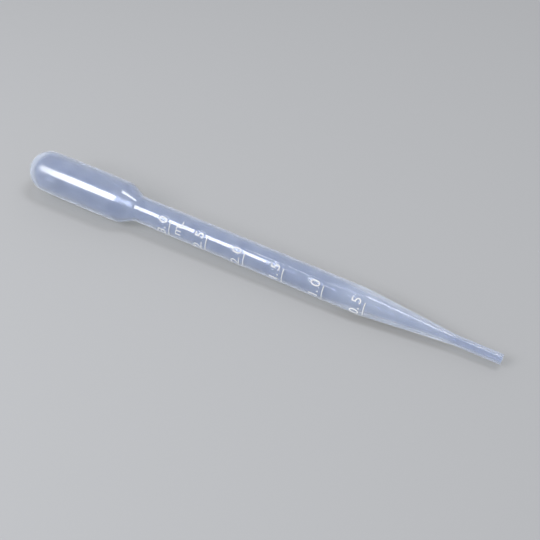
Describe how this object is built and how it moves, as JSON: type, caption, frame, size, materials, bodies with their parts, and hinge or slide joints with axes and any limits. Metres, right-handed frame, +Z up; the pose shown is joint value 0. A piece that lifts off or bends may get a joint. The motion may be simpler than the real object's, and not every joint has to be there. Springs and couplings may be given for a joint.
{
  "type": "plastic dropper pipette",
  "caption": "Soft translucent one-piece dropper pipette: domed squeeze bulb, straight stem with raised volume marks, long taper and thin open tip.",
  "frame": {"origin": "on the floor under the middle of the pipette as it lies on its side", "axes": "+Z up, +X from the bulb towards the tip; the graduation marks face up and towards -Y; the pipette's own axis leans down by 1.74 degrees towards the tip"},
  "size_m": [0.16, 0.0136, 0.0141],
  "materials": {
    "polyethylene": "translucent natural low-density polyethylene, smooth blow-moulded skin"
  },
  "bodies": {
    "root": {"pipette": "polyethylene"}
  },
  "joints": []
}
